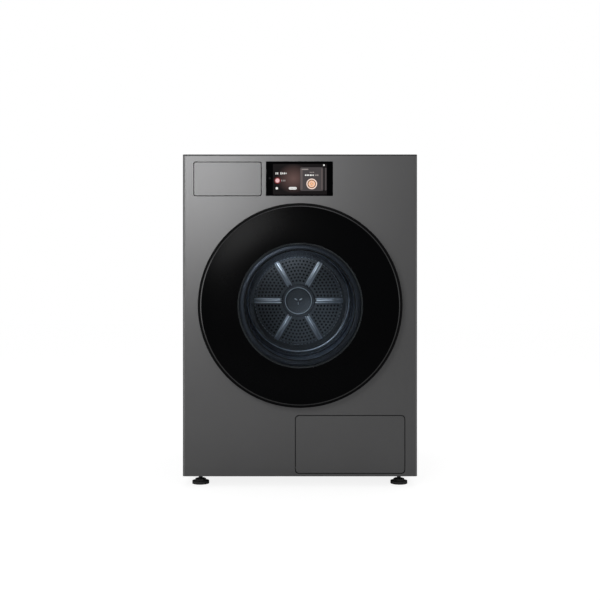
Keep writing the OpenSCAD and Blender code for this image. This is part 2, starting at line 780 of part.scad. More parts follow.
module drawer_front() color(steel_grey) difference() {
    slab(front_y, front_rim) translate([drawer_x, drawer_z]) rounded(drawer_w, drawer_h, drawer_corner);
    slab(front_y + front_t, front_rim) translate([drawer_x, drawer_z])
        rounded(drawer_w - 6, drawer_h - 6, drawer_corner - 3);
}

module water_tank() color([0.80, 0.84, 0.86]) {
    w = drawer_w / 2 - 8;
    y0 = front_y + front_rim;
    y1 = y0 + tank_len;
    z0 = drawer_z - drawer_h / 2 + 3;
    z1 = drawer_z + drawer_h / 2 - 6;
    wall = 2.5;
    difference() {
        union() {
            block([drawer_x - w, y0, z0], [drawer_x + w, y1, z1]);
            block([drawer_x - w - 6, y0, z0 + 8], [drawer_x + w + 6, y0 + 3, z1]);
            translate([drawer_x, y1 - 50, z1]) cylinder(r = 16, h = 4);
        }
        block([drawer_x - w + wall, y0 + wall, z0 + wall], [drawer_x + w - wall, y1 - wall, z1 - wall]);
        translate([drawer_x, y1 - 50, z1 - 5]) cylinder(r = 12, h = 12);
        translate([drawer_x, y0 - 1, z1 - 22]) rotate([-90, 0, 0]) cylinder(r = 3, h = 2);
    }
}

// ---- Drum ----

module drum_shell() color(zinc) {
    band(neck_r, neck_r + drum_wall, bulkhead_y + bulkhead_t + 4, drum_y0 + drum_wall);
    band(neck_r, drum_r, drum_y0, drum_y0 + drum_wall);
    band(drum_in, drum_r, drum_y0, drum_y1);
    // Rear wall: a stepped ring around the perforated plate
    step_r = vent_r + 34;
    band(step_r, drum_r, drum_y1 - drum_wall, drum_y1);
    band(step_r, step_r + drum_wall, vent_y, drum_y1);
    band(vent_r - 8, step_r + drum_wall, vent_y, vent_y + drum_wall);
}

// Rows of air holes between two ribs, closest at the middle and staggered from row to row
module vent_holes() {
    rows = 8;
    pitch = 10.2;
    inner = 62;
    spacing = 11;
    rib_room = 15;
    for (row = [0:rows - 1]) {
        r = inner + row * pitch;
        count = floor((r * PI / 3 - rib_room) / spacing);
        step = spacing / r * 180 / PI;
        for (a = [0:60:300], i = [0:count - 1])
            rotate(a + 30 + (i - (count - 1) / 2) * step) translate([r, 0]) circle(d = hole_d, $fn = 16);
    }
}

module drum_vent_plate() color(blue_grey) {
    t = drum_wall;
    slab(vent_y - t, t) translate([0, drum_z]) difference() {
        circle(vent_r - 1, $fn = 180);
        vent_holes();
    }
    for (a = [0:60:300]) translate([0, vent_y - t, drum_z]) rotate([0, a, 0])
        rotate([0, 90, 0]) translate([0, 0, 50]) linear_extrude(vent_r - 58) intersection() {
            circle(4.5);
            translate([-5, -5]) square([10, 5 + 0.2]);
        }
    translate([0, vent_y - t, drum_z]) rotate([90, 0, 0]) rotate([0, 0, 30]) cylinder(r = 56, h = 2.5, $fn = 6);
}

module drum_hub_cap() color(blue_grey) {
    y = vent_y - drum_wall - 2.5;
    difference() {
        turned(y - 9) polygon(concat([[0, 2]], [[36, 2]], arc(40, 3, 3, 150, 0, 8), [[43, 9]], [[0, 9]]));
        for (a = [90:120:330]) translate([0, y - 8, drum_z]) rotate([0, a, 0])
            block([1, -1, -1.2], [9, 2.5, 1.2]);
    }
}

module drum_lifters() color(blue_grey) for (a = [90:120:330])
    translate([0, drum_y0 + 40, drum_z]) rotate([0, a, 0]) rotate([-90, 0, 0])
    linear_extrude(drum_y1 - drum_y0 - 90) intersection() {
        circle(drum_in - bearing_gap, $fn = 180);
        tip = drum_in - lifter_h + 12;
        union() {
            polygon([[tip - 4, -11], [drum_in + 5, -38], [drum_in + 5, 38], [tip - 4, 11]]);
            translate([tip, 0]) circle(12);
        }
    }

module drum_shaft() color(zinc) {
    y = drum_y1 + 1;
    arm_r = drum_r - 34;
    slab(y, spider_t) translate([0, drum_z]) {
        circle(38);
        for (a = [30:120:270]) rotate(a) translate([0, -14]) square([arm_r, 28]);
    }
    for (a = [30:120:270]) translate([0, 0, drum_z]) rotate([0, -a, 0])
        block([vent_r + 45, drum_y1 + 0.02, -14], [arm_r, y + 1, 14]);
    rod_y(0, drum_z, shaft_r, vent_y + part_gap, rear_bulk_y + 22);
}

// ---- Door ----

module hinge_pocket() translate([hinge_x, hinge_y, drum_z - hinge_half]) {
    linear_extrude(2 * hinge_half) intersection() {
        circle(pocket_r);
        translate([-pocket_r, -3]) square([2 * pocket_r, 2 * pocket_r]);
    }
    cylinder(r = 8, h = 2 * hinge_half);
}

module door_rim() color(black) difference() {
    turned(door_y0) {
        depth = door_y1 - door_y0;
        lip = 2;
        wide = depth / 2;
        wall = 4;
        polygon([[glass_r + 0.4, lip], [door_r - 4, lip], [door_r, lip + 4], [door_r, wide], [rim_back_r, depth],
            [rim_back_r - 14, depth], [rim_back_r - 14, depth - 3], [rim_back_r - 2, depth - 3],
            [door_r - wall, wide - 1], [door_r - wall, lip + 8], [glass_r - 4, lip + 8],
            [glass_r - 4, glass_t + part_gap], [glass_r + 0.4, glass_t + part_gap]]);
    }
    hinge_pocket();
    // Finger grip behind the door's left edge
    block([-door_r - 1, door_y0 + 14, drum_z - 45], [-door_r + 9, front_y, drum_z + 45]);
}

module door_glass() color(clear_glass) turned(door_y0) polygon([[0, 0], [glass_r - 1.5, 0],
    [glass_r, 1.5], [glass_r, glass_t], [0, glass_t]]);

module door_mask() color(black)
    band(window_r, glass_r - 5, door_y0 + glass_t + part_gap, door_y0 + glass_t + part_gap + 1.5);

module door_frame() color(dark_grey) difference() {
    bowl_seat = door_y1 - 10;
    front = door_y0 + glass_t + 2;
    union() {
        band(window_r + 3, rim_back_r - 14 - part_gap, door_y1 - 3, door_y1);
        band(window_r + 20, window_r + 24, front, door_y1 - 1);
        band(window_r - 4, window_r + 24, front, front + 3);
        band(window_r + 60, window_r + 63, door_y1 - 14, door_y1 - 1);
        for (a = [0:30:330]) translate([0, 0, drum_z]) rotate([0, a + 15, 0])
            block([window_r + 23, door_y1 - 14, -1.5], [window_r + 61, door_y1 - 1, 1.5]);
        // Striker that the catch holds
        block([striker_x - 2.5, door_y1 - 1, drum_z - 10], [striker_x + 2.5, front_y + 18, drum_z + 10]);
        leaf_posts();
    }
    hinge_pocket();
    block([striker_x - 4, front_y + 6.5, drum_z - 6.5], [striker_x + 4, front_y + 16.5, drum_z + 6.5]);
    for (s = [-1, 1]) leaf_screw(s);
}

// Posts and screw holes that hold the hinge leaf
module leaf_posts() for (s = [-1, 1]) rod_y(leaf_x0 + 10, drum_z + s * 24, 7, hinge_y - 4 + part_gap, door_y1 - 1);
module leaf_screw(s) rod_y(leaf_x0 + 10, drum_z + s * 24, 2, hinge_y - 8, hinge_y + 12);

module door_bowl() color(clear_glass) turned(front_y) {
    lip = window_r + 16;
    y0 = -door_gap - 9;
    wall = bowl_wall;
    r0 = window_r + 1;
    r1 = window_r - 12;
    bend = 26;
    difference() {
        polygon(concat([[0, y0], [lip, y0], [lip, y0 + wall], [r0, y0 + wall], [r1, bowl_reach - bend]],
            arc(r1 - bend, bowl_reach - bend, bend, 0, 90, 12), [[0, bowl_reach]]));
        polygon(concat([[0, y0 - 1], [r0 - wall, y0 - 1], [r1 - wall, bowl_reach - bend]],
            arc(r1 - bend, bowl_reach - bend, bend - wall, 0, 90, 12), [[0, bowl_reach - wall]]));
    }
}

module door_hinge_leaf() color(zinc) difference() {
    y0 = hinge_y - 4 - 3;
    length = 2 * (hinge_arm_z - hinge_arm_h / 2 - touch_gap);
    union() {
        block([leaf_x0, y0, drum_z - 34], [hinge_x, y0 + 3, drum_z + 34]);
        translate([hinge_x, hinge_y, drum_z]) cylinder(r = 6, h = length, center = true);
        block([hinge_x - 5, y0, drum_z - 34], [hinge_x + 5, hinge_y - 3, drum_z + 34]);
    }
    translate([hinge_x, hinge_y, drum_z]) cylinder(r = hinge_pin_r + bearing_gap, h = 2 * length, center = true);
    for (s = [-1, 1]) leaf_screw(s);
}

base_tray();
left_side_panel();
right_side_panel();
rear_panel();
rear_duct_cover();
top_panel();
front_panel();
front_bulkhead();
rear_bulkhead();
drawer_housing();
display_housing();
display_glass();
control_module();
door_seal();
front_felt();
rear_bearing();
hinge_bracket();
hinge_pin();
door_catch();
latch_plunger();
lint_filter();
heat_exchanger_filter();
evaporator();
condenser();
refrigerant_pipes();
compressor();
cooling_fan();
motor_body();
motor_shaft();
blower_wheel();
blower_housing();
drive_belt();
idler_arm();
idler_pulley();
idler_spring();
roller_left();
roller_right();
inner_cover();
cover_lever_left();
cover_lever_right();
hatch_flap();
drain_port();
power_inlet();
foot_front_left();
foot_front_right();
foot_rear_left();
foot_rear_right();
drawer_front();
water_tank();
drum_shell();
drum_vent_plate();
drum_hub_cap();
drum_lifters();
drum_shaft();
door_rim();
door_glass();
door_mask();
door_frame();
door_bowl();
door_hinge_leaf();
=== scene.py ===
"""Looks of a free-standing heat pump clothes dryer with a round black glass door."""

import math

import bmesh
import bpy
from mathutils import Matrix, Vector

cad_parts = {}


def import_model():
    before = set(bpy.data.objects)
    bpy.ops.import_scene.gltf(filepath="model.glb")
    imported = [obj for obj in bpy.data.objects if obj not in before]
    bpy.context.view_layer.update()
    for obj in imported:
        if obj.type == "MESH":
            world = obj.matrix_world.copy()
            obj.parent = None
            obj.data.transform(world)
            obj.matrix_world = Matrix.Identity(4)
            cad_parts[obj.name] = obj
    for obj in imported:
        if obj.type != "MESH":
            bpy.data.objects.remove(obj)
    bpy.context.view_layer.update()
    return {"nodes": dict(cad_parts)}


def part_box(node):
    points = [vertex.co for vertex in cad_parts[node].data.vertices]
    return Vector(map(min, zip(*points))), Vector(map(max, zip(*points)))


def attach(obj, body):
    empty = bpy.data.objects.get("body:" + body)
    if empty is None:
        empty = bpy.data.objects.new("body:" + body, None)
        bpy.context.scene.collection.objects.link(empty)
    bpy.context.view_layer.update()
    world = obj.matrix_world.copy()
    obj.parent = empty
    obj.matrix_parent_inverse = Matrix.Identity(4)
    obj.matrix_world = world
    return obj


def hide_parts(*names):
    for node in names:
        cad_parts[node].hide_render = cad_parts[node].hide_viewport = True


MM = 0.001
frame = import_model()
nodes = frame["nodes"]

# ---- Places taken from the frame ----


def corners(node):
    """A node's lowest and highest corners."""
    low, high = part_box(node)
    return Vector(low), Vector(high)


FRONT = corners("front_panel")[0].y
GLASS_LOW, GLASS_HIGH = corners("door_glass")
AXIS_X = (GLASS_LOW.x + GLASS_HIGH.x) / 2
AXIS_Z = (GLASS_LOW.z + GLASS_HIGH.z) / 2
GLASS_R = (GLASS_HIGH.x - GLASS_LOW.x) / 2
BOWL_LOW, BOWL_HIGH = corners("door_bowl")
BOWL_LIP_R = (BOWL_HIGH.x - BOWL_LOW.x) / 2
WINDOW_R = BOWL_LIP_R - 16 * MM
PLATE_LOW, PLATE_HIGH = corners("drum_vent_plate")
PLATE_R = (PLATE_HIGH.x - PLATE_LOW.x) / 2
CAP_LOW, CAP_HIGH = corners("drum_hub_cap")
CAP_R = (CAP_HIGH.x - CAP_LOW.x) / 2
DISPLAY_LOW = corners("display_glass")[0]

# ---- Shader expressions ----


class Value:
    """A number that varies over a surface: arithmetic on it adds Math nodes."""

    def __init__(self, tree, socket):
        self.tree = tree
        self.socket = socket

    def math(self, operation, first, second):
        node = self.tree.nodes.new("ShaderNodeMath")
        node.operation = operation
        for slot, item in zip(node.inputs, (first, second)):
            if isinstance(item, Value):
                self.tree.links.new(item.socket, slot)
            else:
                slot.default_value = item
        return Value(self.tree, node.outputs[0])

    def __add__(self, other):
        return self.math("ADD", self, other)

    def __radd__(self, other):
        return self.math("ADD", other, self)

    def __rsub__(self, other):
        return self.math("SUBTRACT", other, self)

    def __mul__(self, other):
        return self.math("MULTIPLY", self, other)

    def __rmul__(self, other):
        return self.math("MULTIPLY", other, self)


class Finish:
    """A material on one Principled shader, with helpers that add its nodes."""

    def __init__(self, name, **fixed):
        self.material = bpy.data.materials.new(name)
        self.material.use_nodes = True
        self.tree = self.material.node_tree
        self.shader = self.tree.nodes["Principled BSDF"]
        for key, value in fixed.items():
            self.shader.inputs[key.replace("_", " ")].default_value = value
        self.place = self.node("ShaderNodeTexCoord").outputs["Object"]

    def node(self, kind, settings=None, sockets=None):
        """Adds a node of a type, sets its settings, then its sockets' values or links."""
        node = self.tree.nodes.new(kind)
        for key, value in (settings or {}).items():
            setattr(node, key, value)
        for key, value in (sockets or {}).items():
            self.feed(node.inputs[key], value)
        return node

    def feed(self, socket, value):
        """Links a socket to a value or another socket, or sets its number."""
        if isinstance(value, Value):
            self.tree.links.new(value.socket, socket)
        elif isinstance(value, bpy.types.NodeSocket):
            self.tree.links.new(value, socket)
        else:
            socket.default_value = value

    def value(self, socket):
        return Value(self.tree, socket)

    def stretched(self, scale):
        """Object coordinates scaled apart along X, Y and Z."""
        mapping = self.node("ShaderNodeMapping", sockets={"Vector": self.place, "Scale": scale})
        return mapping.outputs["Vector"]

    def noise(self, scale, detail=4.0, roughness=0.5, stretch=None):
        """Noise from 0 to 1, stretched where a stretch is given."""
        place = self.stretched(stretch) if stretch else self.place
        sockets = {"Vector": place, "Scale": scale, "Detail": detail, "Roughness": roughness}
        return self.value(self.node("ShaderNodeTexNoise", sockets=sockets).outputs["Fac"])

    def cells(self, scale):
        """Voronoi cells, as a node with a colour and a distance for each."""
        return self.node("ShaderNodeTexVoronoi", sockets={"Vector": self.place, "Scale": scale})

    def blend(self, factor, dark, light):
        """A colour between two, by a factor."""
        node = self.node("ShaderNodeMix", {"data_type": "RGBA"}, {0: factor, 6: dark, 7: light})
        return node.outputs[2]

    def colour(self, value):
        self.feed(self.shader.inputs["Base Color"], value)

    def rough(self, value):
        self.feed(self.shader.inputs["Roughness"], value)

    def bump(self, height, depth, strength=1.0):
        sockets = {"Height": height, "Distance": depth, "Strength": strength}
        node = self.node("ShaderNodeBump", sockets=sockets)
        self.feed(self.shader.inputs["Normal"], node.outputs["Normal"])

    def clamped(self, value, low, high):
        """A value's stretch from low to high, as 0 to 1."""
        sockets = {"Value": value, "From Min": low, "From Max": high}
        return self.value(self.node("ShaderNodeMapRange", {"clamp": True}, sockets).outputs["Result"])


def shade(level, tint=(1.0, 1.0, 1.0)):
    """An opaque colour from a grey level and a tint."""
    return (level * tint[0], level * tint[1], level * tint[2], 1.0)


# ---- Finishes ----


def satin_steel(name, level, roughness):
    """Dark satin steel: fine upright grain, faint clouding."""
    tint = (1.0, 1.0, 1.01)
    steel = Finish(name, Metallic=1.0)
    grain = steel.noise(900.0, 3.0, 0.6, (1.0, 1.0, 0.012))
    cloud = steel.noise(5.0, 3.0)
    steel.colour(steel.blend(cloud, shade(level * 0.95, tint), shade(level * 1.05, tint)))
    steel.rough(roughness - 0.03 + 0.05 * grain + 0.03 * cloud)
    steel.bump(grain, 0.004 * MM, 0.5)
    return steel.material


def painted(name, level, roughness):
    """Powder paint: an even colour with a fine orange peel."""
    paint = Finish(name)
    peel = paint.noise(650.0, 2.0)
    cloud = paint.noise(6.0, 3.0)
    paint.colour(paint.blend(cloud, shade(level * 0.93), shade(level * 1.07)))
    paint.rough(roughness - 0.05 + 0.1 * cloud)
    paint.bump(peel, 0.012 * MM, 0.6)
    return paint.material


def galvanised(name):
    """Zinc-coated sheet with its large crystals."""
    tint = (1.0, 1.01, 1.03)
    zinc = Finish(name, Metallic=0.9)
    crystals = zinc.cells(150.0)
    channels = zinc.node("ShaderNodeSeparateColor", sockets={"Color": crystals.outputs["Color"]})
    spangle = zinc.value(channels.outputs[0])
    fine = zinc.noise(260.0, 3.0)
    zinc.colour(zinc.blend(spangle, shade(0.52, tint), shade(0.60, tint)))
    zinc.rough(0.34 + 0.14 * spangle + 0.06 * fine)
    zinc.bump(fine, 0.01 * MM, 0.4)
    return zinc.material


def plated(name, level=0.62, tint=(1.0, 1.0, 1.02), roughness=0.3):
    """Zinc-plated or turned steel with light wear."""
    metal = Finish(name, Metallic=1.0)
    wear = metal.noise(70.0, 5.0, 0.65)
    fine = metal.noise(900.0, 2.0)
    metal.colour(metal.blend(wear, shade(level * 0.82, tint), shade(level, tint)))
    metal.rough(roughness - 0.06 + 0.16 * wear)
    metal.bump(fine, 0.006 * MM, 0.5)
    return metal.material


def moulded(name, level, tint=(1.0, 1.0, 1.0), roughness=0.5, depth=0.03):
    """Moulded plastic with a fine spark-eroded grain."""
    plastic = Finish(name)
    spark = plastic.noise(840.0, 3.0, 0.6)
    flow = plastic.noise(9.0, 2.0)
    plastic.colour(plastic.blend(flow, shade(level * 0.9, tint), shade(level * 1.1, tint)))
    plastic.rough(roughness - 0.06 + 0.12 * spark)
    plastic.bump(spark, depth * MM, 0.7)
    return plastic.material


def rubber(name, level=0.028):
    """Black rubber with a faint bloom."""
    soft = Finish(name)
    bloom = soft.noise(45.0, 5.0, 0.7)
    fine = soft.noise(1500.0, 2.0)
    soft.colour(soft.blend(bloom, shade(level * 0.75), shade(level * 1.5)))
    soft.rough(0.62 + 0.16 * bloom)
    soft.bump(fine, 0.02 * MM, 0.6)
    return soft.material


def felt(name):
    """Grey wool felt."""
    wool = Finish(name, Roughness=0.95)
    fibres = wool.noise(1400.0, 6.0, 0.8)
    tufts = wool.noise(160.0, 4.0)
    wool.colour(wool.blend(fibres, shade(0.26, (1.0, 0.96, 0.90)), shade(0.52, (1.0, 0.97, 0.92))))
    wool.bump(fibres + tufts, 0.25 * MM)
    return wool.material


def foam(name):
    """Open-cell filter foam."""
    cell = Finish(name, Roughness=0.9)
    pores = cell.value(cell.cells(650.0).outputs["Distance"])
    strand = cell.clamped(pores, 0.1, 0.7)
    cell.colour(cell.blend(strand, shade(0.05, (0.9, 1.0, 1.1)), shade(0.26, (0.85, 1.0, 1.12))))
    cell.bump(pores, 0.5 * MM)
    return cell.material


def ribbed_belt(name):
    """Rubber with ribs that run along the belt."""
    belt = Finish(name, Roughness=0.7)
    band = belt.node("ShaderNodeTexWave", {"bands_direction": "Y"}, {"Vector": belt.place, "Scale": 160.0})
    ribs = belt.value(band.outputs["Fac"])
    belt.colour(belt.blend(ribs, shade(0.012), shade(0.04)))
    belt.bump(ribs, 0.3 * MM)
    return belt.material


def drum_steel(name, level, roughness):
    """Polished stainless steel with fine streaks from front to back."""
    tint = (0.97, 0.99, 1.04)
    steel = Finish(name, Metallic=1.0)
    fine = steel.noise(500.0, 4.0, 0.6, (1.0, 0.05, 1.0))
    cloud = steel.noise(14.0, 3.0)
    steel.colour(steel.blend(cloud, shade(level * 0.9, tint), shade(level * 1.08, tint)))
    steel.rough(roughness - 0.03 + 0.06 * fine + 0.03 * cloud)
    steel.bump(fine, 0.004 * MM, 0.4)
    return steel.material


def cast_metal(name):
    """Sand-cast metal with slight stains."""
    cast = Finish(name, Metallic=0.85)
    sand = cast.noise(500.0, 5.0, 0.65)
    stain = cast.noise(30.0, 4.0)
    cast.colour(cast.blend(stain, shade(0.26), shade(0.42)))
    cast.rough(0.5 + 0.2 * sand)
    cast.bump(sand, 0.08 * MM)
    return cast.material


def dark_glass(name, roughness, bend):
    """Glass printed black behind, with faint polishing haze."""
    tint = (0.9, 1.0, 1.3)
    black = Finish(name)
    haze = black.noise(14.0, 4.0)
    black.colour(black.blend(haze, shade(0.0008, tint), shade(0.0014, tint)))
    black.rough(roughness - 0.02 + 0.04 * haze)
    black.shader.inputs["IOR"].default_value = bend
    return black.material


def clear_glass(name, tint, roughness, bend, haze=0.0, body=(1.0, 1.0, 1.0)):
    """Glass as a thin pane: light goes straight through, and more of it mirrors at a slant."""
    glass = Finish(name, Metallic=1.0, Roughness=roughness)
    smear = glass.noise(7.0, 3.0)
    glass.colour(glass.blend(smear, (*(0.94 * part for part in body), 1.0), (*body, 1.0)))
    clear = glass.node("ShaderNodeBsdfTransparent")
    clear.inputs["Color"].default_value = (*tint, 1.0)
    facing = glass.node("ShaderNodeFresnel", sockets={"IOR": bend})
    behind = glass.value(glass.node("ShaderNodeNewGeometry").outputs["Backfacing"])
    amount = (glass.value(facing.outputs["Fac"]) + haze) * (1.0 - behind)
    shaders = {0: amount, 1: clear.outputs[0], 2: glass.shader.outputs[0]}
    mix = glass.node("ShaderNodeMixShader", sockets=shaders)
    output = glass.tree.nodes["Material Output"]
    glass.tree.links.new(mix.outputs[0], output.inputs["Surface"])
    return glass.material


def tank_plastic(name):
    """Milky translucent plastic."""
    tint = (0.95, 1.0, 1.03)
    reach = 4 * MM
    milk = Finish(name)
    flow = milk.noise(12.0, 3.0)
    milk.colour(milk.blend(flow, shade(0.62, tint), shade(0.74, tint)))
    milk.rough(0.34 + 0.1 * flow)
    milk.shader.inputs["Subsurface Weight"].default_value = 0.3
    milk.shader.inputs["Subsurface Radius"].default_value = (reach, reach, reach)
    milk.bump(milk.noise(700.0, 2.0), 0.02 * MM, 0.5)
    return milk.material


FRONT_STEEL = satin_steel("front_steel", 0.15, 0.355)
RIM_BLACK = dark_glass("rim_black", 0.42, 1.16)
PRINT_BLACK = moulded("print_black", 0.002, roughness=0.8, depth=0.01)
BLACK_PLASTIC = moulded("black_plastic", 0.018)
GREY_PLASTIC = moulded("grey_plastic", 0.055, (0.95, 1.0, 1.08))
WHITE_PLASTIC = moulded("white_plastic", 0.66, (1.0, 1.0, 0.98))
BASE_PLASTIC = moulded("base_plastic", 0.03, depth=0.06)
LEVER_PLASTIC = moulded("lever_plastic", 0.22, (0.96, 1.0, 1.05))
LIFTER_PLASTIC = moulded("lifter_plastic", 0.07, (0.95, 1.0, 1.08), 0.35)
GALVANISED = galvanised("galvanised_sheet")
ZINC = plated("zinc_plate")
BEARING_STEEL = plated("turned_steel", 0.55, roughness=0.22)
COPPER = plated("copper_tube", 0.85, (1.0, 0.52, 0.32), 0.25)
COIL = plated("coil_fins", 0.75, (0.98, 1.0, 1.03), 0.3)
MOTOR_CAST = cast_metal("motor_casting")
COMPRESSOR_BLACK = painted("compressor_enamel", 0.015, 0.22)
SIDE_STEEL = satin_steel("side_steel", 0.20, 0.40)
TOP_PAINT = painted("worktop_paint", 0.03, 0.52)
RUBBER = rubber("seal_rubber")
FOOT_RUBBER = rubber("foot_rubber", 0.022)
FELT = felt("drum_felt")
FOAM = foam("filter_foam")
BELT = ribbed_belt("drive_belt_rubber")
DRUM_STEEL = drum_steel("drum_steel", 0.45, 0.28)
# The plate steel and the cap steel are the drum steel made darker: painted shade at the back of the drum.
PLATE_STEEL_SHADED = drum_steel("plate_steel_painted_shade", 0.18, 0.38)
# The rib steel is the drum steel made far lighter: a painted highlight on the ribs, the wall bead, the hub
# bars and the hub's edge ring.
RIB_STEEL_PAINTED_HIGHLIGHT = drum_steel("rib_steel_painted_highlight", 0.92, 0.30)
CAP_STEEL_SHADED = drum_steel("cap_steel_painted_shade", 0.135, 0.34)
BAND = plated("bevel_band", 0.085, roughness=0.3)
# Black sheet for the disc behind the air holes: painted shade.
HOLE_SHADE = moulded("hole_shade_black", 0.002, roughness=0.9, depth=0.2)
RING_METAL = plated("ring_metal", 0.045, (0.88, 0.96, 1.15), 0.30)
# The rear wall steel is the drum steel made much darker: painted shade.
WALL_PAINTED_SHADE = drum_steel("rear_wall_painted_shade", 0.08, 0.4)
PANE_GLASS = clear_glass("pane_glass", (0.90, 0.93, 0.95), 0.24, 1.11)
BOWL_GLASS = clear_glass("bowl_glass", (0.95, 0.97, 0.99), 0.12, 1.15)
# The bowl's side wall is a darker, hazier copy of the bowl glass: its darker tint is painted shade.
BOWL_SIDE_SHADED = clear_glass("bowl_side_glass_painted_shade", (0.70, 0.74, 0.80), 0.28, 1.28, 0.03, (0.84, 0.90, 1.0))
PANE_BLACK = dark_glass("pane_black", 0.23, 1.128)
DISPLAY_GLASS = dark_glass("display_cover_glass", 0.12, 1.08)
TANK = tank_plastic("tank_plastic")

NODE_FINISH = {
    "base_tray": BASE_PLASTIC, "left_side_panel": SIDE_STEEL, "right_side_panel": SIDE_STEEL,
    "rear_panel": GALVANISED, "rear_duct_cover": GALVANISED, "top_panel": TOP_PAINT,
    "front_panel": FRONT_STEEL, "front_bulkhead": GREY_PLASTIC, "rear_bulkhead": GALVANISED,
    "drawer_housing": WHITE_PLASTIC, "display_housing": BLACK_PLASTIC, "display_glass": DISPLAY_GLASS,
    "control_module": WHITE_PLASTIC, "door_seal": RUBBER, "front_felt": FELT,
    "rear_bearing": BEARING_STEEL, "hinge_bracket": ZINC, "hinge_pin": BEARING_STEEL,
    "door_catch": WHITE_PLASTIC, "latch_plunger": ZINC, "lint_filter": GREY_PLASTIC,
    "heat_exchanger_filter": FOAM, "evaporator": COIL, "condenser": COIL,
    "refrigerant_pipes": COPPER, "compressor": COMPRESSOR_BLACK, "cooling_fan": BLACK_PLASTIC,
    "motor_body": MOTOR_CAST, "motor_shaft": BEARING_STEEL, "blower_wheel": WHITE_PLASTIC,
    "blower_housing": GREY_PLASTIC, "drive_belt": BELT, "idler_arm": ZINC,
    "idler_pulley": BLACK_PLASTIC, "idler_spring": BEARING_STEEL, "roller_left": RUBBER,
    "roller_right": RUBBER, "inner_cover": GREY_PLASTIC, "cover_lever_left": LEVER_PLASTIC,
    "cover_lever_right": LEVER_PLASTIC, "hatch_flap": FRONT_STEEL, "drain_port": GREY_PLASTIC,
    "power_inlet": BLACK_PLASTIC, "foot_front_left": FOOT_RUBBER, "foot_front_right": FOOT_RUBBER,
    "foot_rear_left": FOOT_RUBBER, "foot_rear_right": FOOT_RUBBER, "drawer_front": FRONT_STEEL,
    "water_tank": TANK, "drum_shell": DRUM_STEEL, "drum_vent_plate": PLATE_STEEL_SHADED,
    "drum_hub_cap": PLATE_STEEL_SHADED, "drum_lifters": LIFTER_PLASTIC, "drum_shaft": BEARING_STEEL,
    "door_rim": RIM_BLACK, "door_glass": PANE_GLASS, "door_mask": PRINT_BLACK,
    "door_frame": BLACK_PLASTIC, "door_bowl": BOWL_GLASS, "door_hinge_leaf": ZINC,
}

BEVELLED = ("drawer_front", "hatch_flap")
EDGE_ROUND = 0.7 * MM
WELD_REACH = 0.005 * MM


def finish_nodes():
    """Gives every CAD node its finish, and the two flush panels their rounded edges."""
    for name, obj in nodes.items():
        obj.data.materials.clear()
        obj.data.materials.append(NODE_FINISH[name])
    for name in BEVELLED:
        weld = nodes[name].modifiers.new("weld", "WELD")
        weld.merge_threshold = WELD_REACH
        bevel = nodes[name].modifiers.new("edge_round", "BEVEL")
        bevel.width = EDGE_ROUND
        bevel.segments = 2
        bevel.limit_method = "ANGLE"
        bevel.angle_limit = math.radians(40)


# ---- Mesh helpers ----


def piece_from(mesh, name, material, body, smooth=True):
    """Turns a finished bmesh into a piece that rides on a body."""
    bmesh.ops.recalc_face_normals(mesh, faces=mesh.faces)
    data = bpy.data.meshes.new(name)
    mesh.to_mesh(data)
    mesh.free()
    data.materials.append(material)
    if smooth:
        data.shade_smooth()
        data.set_sharp_from_angle(angle=math.radians(32))
    obj = bpy.data.objects.new(name, data)
    bpy.context.scene.collection.objects.link(obj)
    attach(obj, body)
    return obj


def turned(profile, steps=192, closed=True):
    """A bmesh of a profile of radius and depth, spun about the drum's axis."""
    mesh = bmesh.new()
    points = [mesh.verts.new((radius, depth, 0.0)) for radius, depth in profile]
    pairs = list(zip(points, points[1:]))
    if closed:
        pairs.append((points[-1], points[0]))
    edges = [mesh.edges.new(pair) for pair in pairs]
    bmesh.ops.spin(mesh, geom=points + edges, cent=(0, 0, 0), axis=(0, 1, 0),
                   angle=2 * math.pi, steps=steps, use_merge=True)
    bmesh.ops.remove_doubles(mesh, verts=mesh.verts, dist=1e-6)
    bmesh.ops.translate(mesh, verts=mesh.verts, vec=(AXIS_X, 0.0, AXIS_Z))
    return mesh


def arc(centre, radius, start, end, steps):
    """Points of an arc in a profile, angles in degrees."""
    turns = [math.radians(start + (end - start) * i / steps) for i in range(steps + 1)]
    return [(centre[0] + radius * math.cos(t), centre[1] + radius * math.sin(t)) for t in turns]


def panel(mesh, centre, size, depth, corner):
    """Adds a flat panel with round corners that faces -Y, its front at centre.y."""
    half_w = size[0] / 2 - corner
    half_h = size[1] / 2 - corner
    outline = []
    for sx, sz, start in ((1, 1, 0), (-1, 1, 90), (-1, -1, 180), (1, -1, 270)):
        for x, z in arc((sx * half_w, sz * half_h), corner, start, start + 90, 6):
            outline.append(mesh.verts.new((centre[0] + x, centre[1], centre[2] + z)))
    face = mesh.faces.new(outline)
    made = bmesh.ops.extrude_face_region(mesh, geom=[face])
    moved = [item for item in made["geom"] if isinstance(item, bmesh.types.BMVert)]
    bmesh.ops.translate(mesh, verts=moved, vec=(0.0, depth, 0.0))
    return mesh


# ---- Door ----

GROUND_EDGE = 2.4 * MM  # width of the slant ground on the outer glass


def door_pane():
    """The outer glass: flat, printed black but for its round window, with a ground edge."""
    y0 = GLASS_LOW.y
    y1 = GLASS_HIGH.y
    flat_r = GLASS_R - GROUND_EDGE
    front = [(0.0, y0), (WINDOW_R, y0), (flat_r - 0.4 * MM, y0), (flat_r, y0 + 0.1 * MM),
             (GLASS_R - 0.3 * MM, y0 + 1.5 * MM), (GLASS_R, y0 + 2.0 * MM)]
    back = [(GLASS_R, y1), (WINDOW_R, y1), (0.0, y1)]
    pane = piece_from(turned(front + back, closed=False), "door_pane", PANE_GLASS, "door")
    pane.data.materials.append(PANE_BLACK)
    for face in pane.data.polygons:
        reach = math.hypot(face.center.x - AXIS_X, face.center.z - AXIS_Z)
        face.material_index = int(reach > WINDOW_R)
    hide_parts("door_glass")


